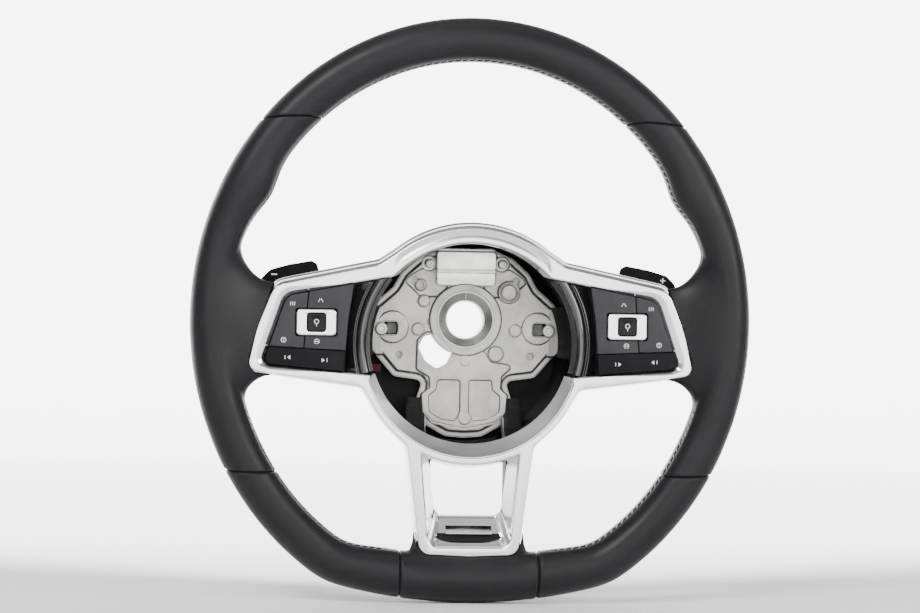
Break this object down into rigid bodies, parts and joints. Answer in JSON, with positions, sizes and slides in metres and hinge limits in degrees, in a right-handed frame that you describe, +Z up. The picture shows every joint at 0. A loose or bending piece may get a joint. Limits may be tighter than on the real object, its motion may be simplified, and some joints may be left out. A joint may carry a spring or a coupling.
{
  "type": "car steering wheel",
  "caption": "Flat-bottomed leather car steering wheel with cast hub, silver spoke trim, switch pads and shift paddles, without its airbag.",
  "frame": {"origin": "on the column axis, in the middle of the smooth pilot bore at the back of the hub", "axes": "+Z up, +X to the driver's right, +Y along the column away from the driver"},
  "size_m": [0.3648, 0.0876, 0.3797],
  "materials": {
    "leather": "smooth perforation-free black grain",
    "foam": "moulded polyurethane foam",
    "casting": "as-cast light grey",
    "steel": "turned steel",
    "trim": "satin silver",
    "badge": "bare polished plate",
    "white_plastic": "white moulding",
    "black_plastic": "fine grained black",
    "key_plastic": "soft touch dark grey",
    "gloss_black": "piano black",
    "toggle_chrome": "bright chrome",
    "board": "circuit board",
    "mat_rubber": "silicone dome mat",
    "red_plastic": "dark red connector",
    "screw_black": "black zinc"
  },
  "bodies": {
    "wheel": {"armature": "casting", "rim_core": "casting", "hub_insert": "steel", "rim_foam": "foam", "leather_top": "leather", "leather_left": "leather", "leather_right": "leather", "leather_lower_left": "leather", "leather_lower_right": "leather", "leather_bottom": "leather", "spoke_trim": "trim", "badge_plate": "badge", "blank_plate": "white_plastic", "locating_pins": "steel", "lug_pins": "steel", "clip_rail": "black_plastic", "wire_connector": "red_plastic", "rear_cover": "black_plastic", "rear_cover_screws": "screw_black", "left_cheek": "gloss_black", "left_housing": "black_plastic", "left_circuit_board": "board", "left_dome_mat": "mat_rubber", "left_paddle_bracket": "black_plastic", "left_paddle_pin": "steel", "left_paddle_spring": "steel", "left_paddle_switch": "black_plastic", "right_cheek": "gloss_black", "right_housing": "black_plastic", "right_circuit_board": "board", "right_dome_mat": "mat_rubber", "right_paddle_bracket": "black_plastic", "right_paddle_pin": "steel", "right_paddle_spring": "steel", "right_paddle_switch": "black_plastic"},
    "left_outer_key": {"left_outer_key": "key_plastic"},
    "left_inner_key": {"left_inner_key": "key_plastic"},
    "left_lower_key": {"left_lower_key": "black_plastic"},
    "left_toggle": {"left_toggle": "toggle_chrome"},
    "left_centre_button": {"left_centre_button": "gloss_black"},
    "left_paddle": {"left_paddle": "gloss_black"},
    "right_outer_key": {"right_outer_key": "key_plastic"},
    "right_inner_key": {"right_inner_key": "key_plastic"},
    "right_lower_key": {"right_lower_key": "black_plastic"},
    "right_toggle": {"right_toggle": "toggle_chrome"},
    "right_centre_button": {"right_centre_button": "gloss_black"},
    "right_paddle": {"right_paddle": "gloss_black"}
  },
  "joints": [
    {"name": "left_outer_key_rock", "type": "hinge", "parent": "wheel", "child": "left_outer_key", "pos_m": [-0.118, -0.067, -0.0032], "axis": [1, 0, 0], "range_deg": [-1.6, 1.6], "stiffness_Nm_per_rad": 0.6},
    {"name": "left_inner_key_rock", "type": "hinge", "parent": "wheel", "child": "left_inner_key", "pos_m": [-0.084, -0.067, -0.0032], "axis": [1, 0, 0], "range_deg": [-1.6, 1.6], "stiffness_Nm_per_rad": 0.6},
    {"name": "left_lower_key_rock", "type": "hinge", "parent": "wheel", "child": "left_lower_key", "pos_m": [-0.105, -0.067, -0.0276], "axis": [0, 0, 1], "range_deg": [-1.4, 1.4], "stiffness_Nm_per_rad": 0.8},
    {"name": "left_toggle_rock", "type": "hinge", "parent": "wheel", "child": "left_toggle", "pos_m": [-0.101, -0.071, -0.0032], "axis": [0, 0, 1], "range_deg": [-3, 3], "stiffness_Nm_per_rad": 0.25},
    {"name": "left_centre_button_press", "type": "slide", "parent": "wheel", "child": "left_centre_button", "axis": [0, 1, 0], "range_m": [0, 0.001], "stiffness_N_per_m": 3000},
    {"name": "left_paddle_pull", "type": "hinge", "parent": "wheel", "child": "left_paddle", "pos_m": [-0.0885, -0.044, 0.0172], "axis": [0, 0, 1], "range_deg": [0, 6], "stiffness_Nm_per_rad": 1.5},
    {"name": "right_outer_key_rock", "type": "hinge", "parent": "wheel", "child": "right_outer_key", "pos_m": [0.118, -0.067, -0.0032], "axis": [1, 0, 0], "range_deg": [-1.6, 1.6], "stiffness_Nm_per_rad": 0.6},
    {"name": "right_inner_key_rock", "type": "hinge", "parent": "wheel", "child": "right_inner_key", "pos_m": [0.084, -0.067, -0.0032], "axis": [1, 0, 0], "range_deg": [-1.6, 1.6], "stiffness_Nm_per_rad": 0.6},
    {"name": "right_lower_key_rock", "type": "hinge", "parent": "wheel", "child": "right_lower_key", "pos_m": [0.105, -0.067, -0.0276], "axis": [0, 0, 1], "range_deg": [-1.4, 1.4], "stiffness_Nm_per_rad": 0.8},
    {"name": "right_toggle_rock", "type": "hinge", "parent": "wheel", "child": "right_toggle", "pos_m": [0.101, -0.071, -0.0032], "axis": [0, 0, 1], "range_deg": [-3, 3], "stiffness_Nm_per_rad": 0.25},
    {"name": "right_centre_button_press", "type": "slide", "parent": "wheel", "child": "right_centre_button", "axis": [0, 1, 0], "range_m": [0, 0.001], "stiffness_N_per_m": 3000},
    {"name": "right_paddle_pull", "type": "hinge", "parent": "wheel", "child": "right_paddle", "pos_m": [0.0885, -0.044, 0.0172], "axis": [0, 0, -1], "range_deg": [0, 6], "stiffness_Nm_per_rad": 1.5}
  ]
}
